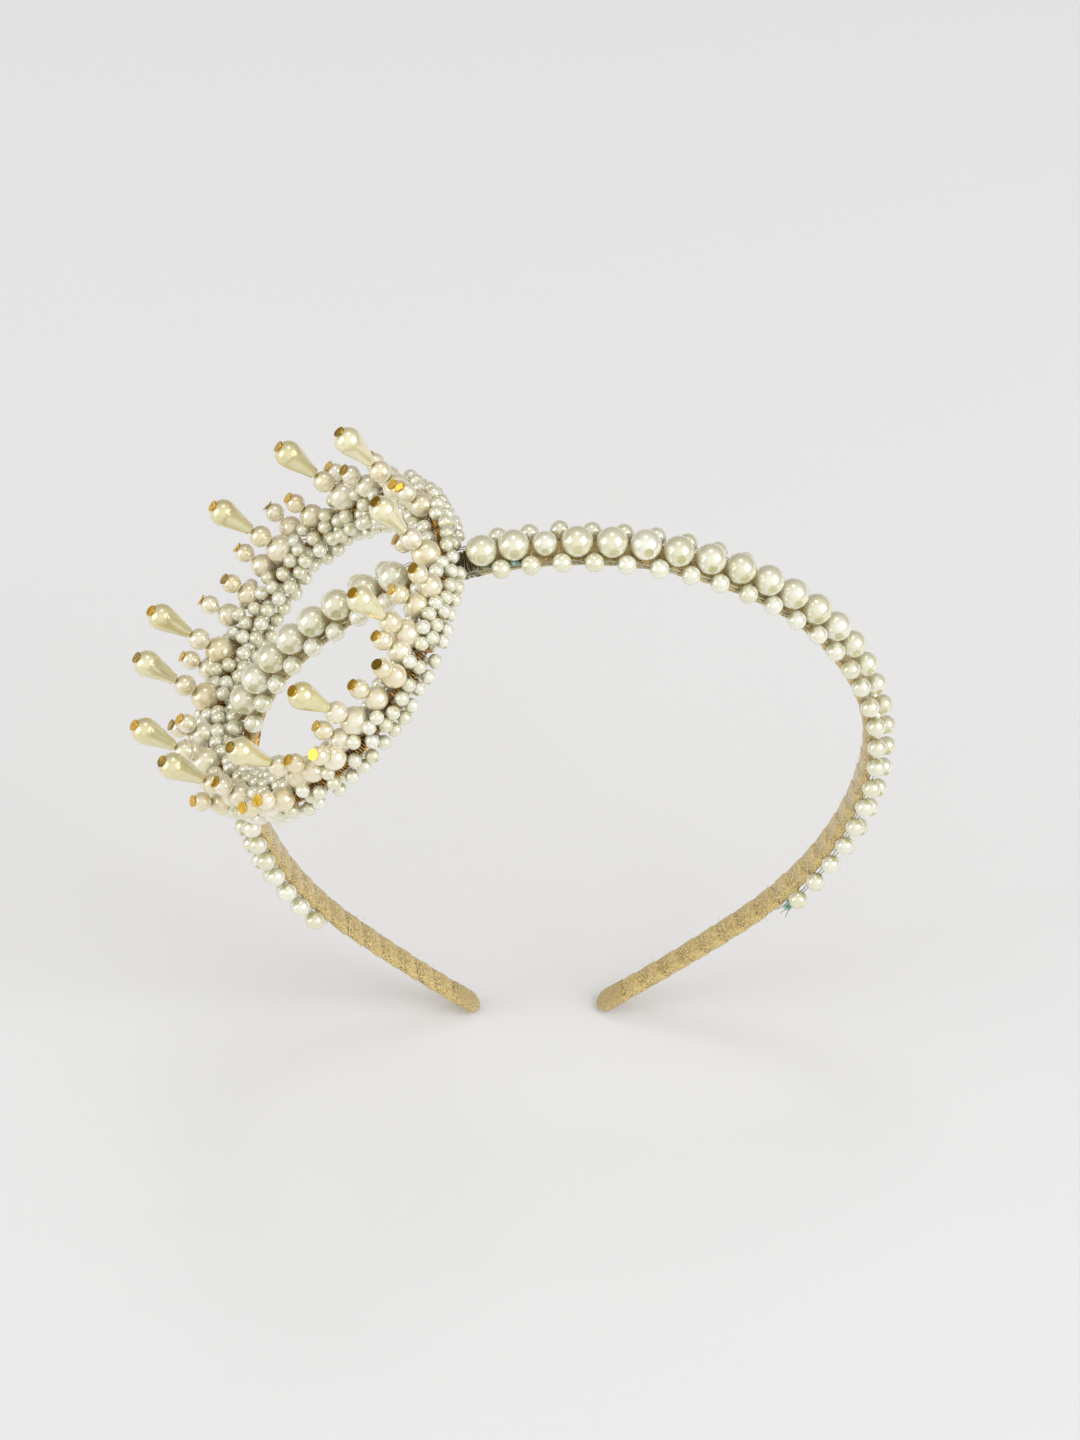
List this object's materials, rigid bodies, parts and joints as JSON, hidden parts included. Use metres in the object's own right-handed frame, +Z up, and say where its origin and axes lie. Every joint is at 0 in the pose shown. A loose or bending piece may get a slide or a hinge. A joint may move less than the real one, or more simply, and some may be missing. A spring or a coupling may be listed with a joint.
{
  "type": "crown hair band",
  "caption": "Pearl-beaded hair band with a small round crown of teardrop and pearl spikes tied on beside its top; the teardrop beads spin on their pins.",
  "frame": {"origin": "on the inner face of the wrapped band, at its top and in the middle of its width", "axes": "+Z up away from the head at the top of the band, +Y to the back edge of the band, +X to the side opposite the crown"},
  "size_m": [0.1559, 0.0803, 0.1644],
  "materials": {
    "strip_steel": "spring-steel strip and hoop wire, hidden under their wrappings",
    "ribbon_gold": "woven metallic-thread ribbon, beige gold with dark tarnish specks, wound on a slant",
    "pearl_ivory": "ivory pearl coating, glossy and slightly green-white",
    "pearl_rose": "pinkish-white pearl coating, glossy",
    "pearl_cream": "champagne-cream pearl coating, glossy",
    "pin_gold": "gold-plated head pins, some dulled",
    "winding_wire": "dark gold wire and thread wound around the hoop",
    "tie_wire": "fine dull grey-brown binding wire"
  },
  "bodies": {
    "headband": {"band_strip": "strip_steel", "base_pearls_inner_lower": "pearl_ivory", "base_pearls_inner_upper": "pearl_ivory", "base_pearls_outer_lower": "pearl_ivory", "base_pearls_outer_upper": "pearl_ivory", "crown_hoop": "strip_steel", "crown_tie_lower": "tie_wire", "crown_tie_upper": "tie_wire", "front_pearl_row": "pearl_ivory", "hoop_winding": "winding_wire", "middle_pearl_row_inside": "pearl_ivory", "middle_pearl_row_left": "pearl_ivory", "middle_pearl_row_right": "pearl_ivory", "rear_pearl_row": "pearl_ivory", "ribbon_wrap": "ribbon_gold", "short_spikes_01": "pearl_rose", "short_spikes_02": "pearl_rose", "short_spikes_03": "pearl_rose", "short_spikes_04": "pearl_rose", "short_spikes_05": "pearl_rose", "short_spikes_06": "pearl_rose", "short_spikes_07": "pearl_rose", "short_spikes_08": "pearl_rose", "short_spikes_09": "pearl_rose", "short_spikes_10": "pearl_rose", "spike_pearls_01": "pearl_rose", "spike_pearls_02": "pearl_rose", "spike_pearls_03": "pearl_rose", "spike_pearls_04": "pearl_rose", "spike_pearls_05": "pearl_rose", "spike_pearls_06": "pearl_rose", "spike_pearls_07": "pearl_rose", "spike_pearls_08": "pearl_rose", "spike_pearls_09": "pearl_rose", "spike_pearls_10": "pearl_rose", "spike_pearls_11": "pearl_rose", "teardrop_pin_01": "pin_gold", "teardrop_pin_02": "pin_gold", "teardrop_pin_03": "pin_gold", "teardrop_pin_04": "pin_gold", "teardrop_pin_05": "pin_gold", "teardrop_pin_06": "pin_gold", "teardrop_pin_07": "pin_gold", "teardrop_pin_08": "pin_gold", "teardrop_pin_09": "pin_gold", "teardrop_pin_10": "pin_gold", "teardrop_pin_11": "pin_gold", "tip_cover_left": "ribbon_gold", "tip_cover_right": "ribbon_gold"},
    "teardrop_01": {"teardrop_bead_01": "pearl_cream"},
    "teardrop_02": {"teardrop_bead_02": "pearl_cream"},
    "teardrop_03": {"teardrop_bead_03": "pearl_cream"},
    "teardrop_04": {"teardrop_bead_04": "pearl_cream"},
    "teardrop_05": {"teardrop_bead_05": "pearl_cream"},
    "teardrop_06": {"teardrop_bead_06": "pearl_cream"},
    "teardrop_07": {"teardrop_bead_07": "pearl_cream"},
    "teardrop_08": {"teardrop_bead_08": "pearl_cream"},
    "teardrop_09": {"teardrop_bead_09": "pearl_cream"},
    "teardrop_10": {"teardrop_bead_10": "pearl_cream"},
    "teardrop_11": {"teardrop_bead_11": "pearl_cream"}
  },
  "joints": [
    {"name": "teardrop_spin_01", "type": "hinge", "parent": "headband", "child": "teardrop_01", "pos_m": [-0.04249, 0.02638, 0.00248], "axis": [-0.6666, 0.2006, 0.7179], "continuous": true},
    {"name": "teardrop_spin_02", "type": "hinge", "parent": "headband", "child": "teardrop_02", "pos_m": [-0.05356, 0.0361, -0.0121], "axis": [-0.7458, 0.1848, 0.6401], "continuous": true},
    {"name": "teardrop_spin_03", "type": "hinge", "parent": "headband", "child": "teardrop_03", "pos_m": [-0.06639, 0.03442, -0.02763], "axis": [-0.7816, 0.1207, 0.612], "continuous": true},
    {"name": "teardrop_spin_04", "type": "hinge", "parent": "headband", "child": "teardrop_04", "pos_m": [-0.07899, 0.01856, -0.04131], "axis": [-0.7808, 0.0789, 0.6198], "continuous": true},
    {"name": "teardrop_spin_05", "type": "hinge", "parent": "headband", "child": "teardrop_05", "pos_m": [-0.08203, 0.00847, -0.0439], "axis": [-0.7834, 0.0762, 0.6168], "continuous": true},
    {"name": "teardrop_spin_06", "type": "hinge", "parent": "headband", "child": "teardrop_06", "pos_m": [-0.08262, -0.01012, -0.04248], "axis": [-0.8031, 0.0578, 0.593], "continuous": true},
    {"name": "teardrop_spin_07", "type": "hinge", "parent": "headband", "child": "teardrop_07", "pos_m": [-0.07738, -0.0257, -0.03427], "axis": [-0.8185, -0.006, 0.5745], "continuous": true},
    {"name": "teardrop_spin_08", "type": "hinge", "parent": "headband", "child": "teardrop_08", "pos_m": [-0.06463, -0.03544, -0.01765], "axis": [-0.7801, -0.1141, 0.6151], "continuous": true},
    {"name": "teardrop_spin_09", "type": "hinge", "parent": "headband", "child": "teardrop_09", "pos_m": [-0.05315, -0.03296, -0.00398], "axis": [-0.704, -0.1461, 0.695], "continuous": true},
    {"name": "teardrop_spin_10", "type": "hinge", "parent": "headband", "child": "teardrop_10", "pos_m": [-0.04188, -0.01936, 0.00818], "axis": [-0.6128, -0.0756, 0.7866], "continuous": true},
    {"name": "teardrop_spin_11", "type": "hinge", "parent": "headband", "child": "teardrop_11", "pos_m": [-0.03703, -0.00007, 0.01196], "axis": [-0.5853, 0.0617, 0.8084], "continuous": true}
  ]
}
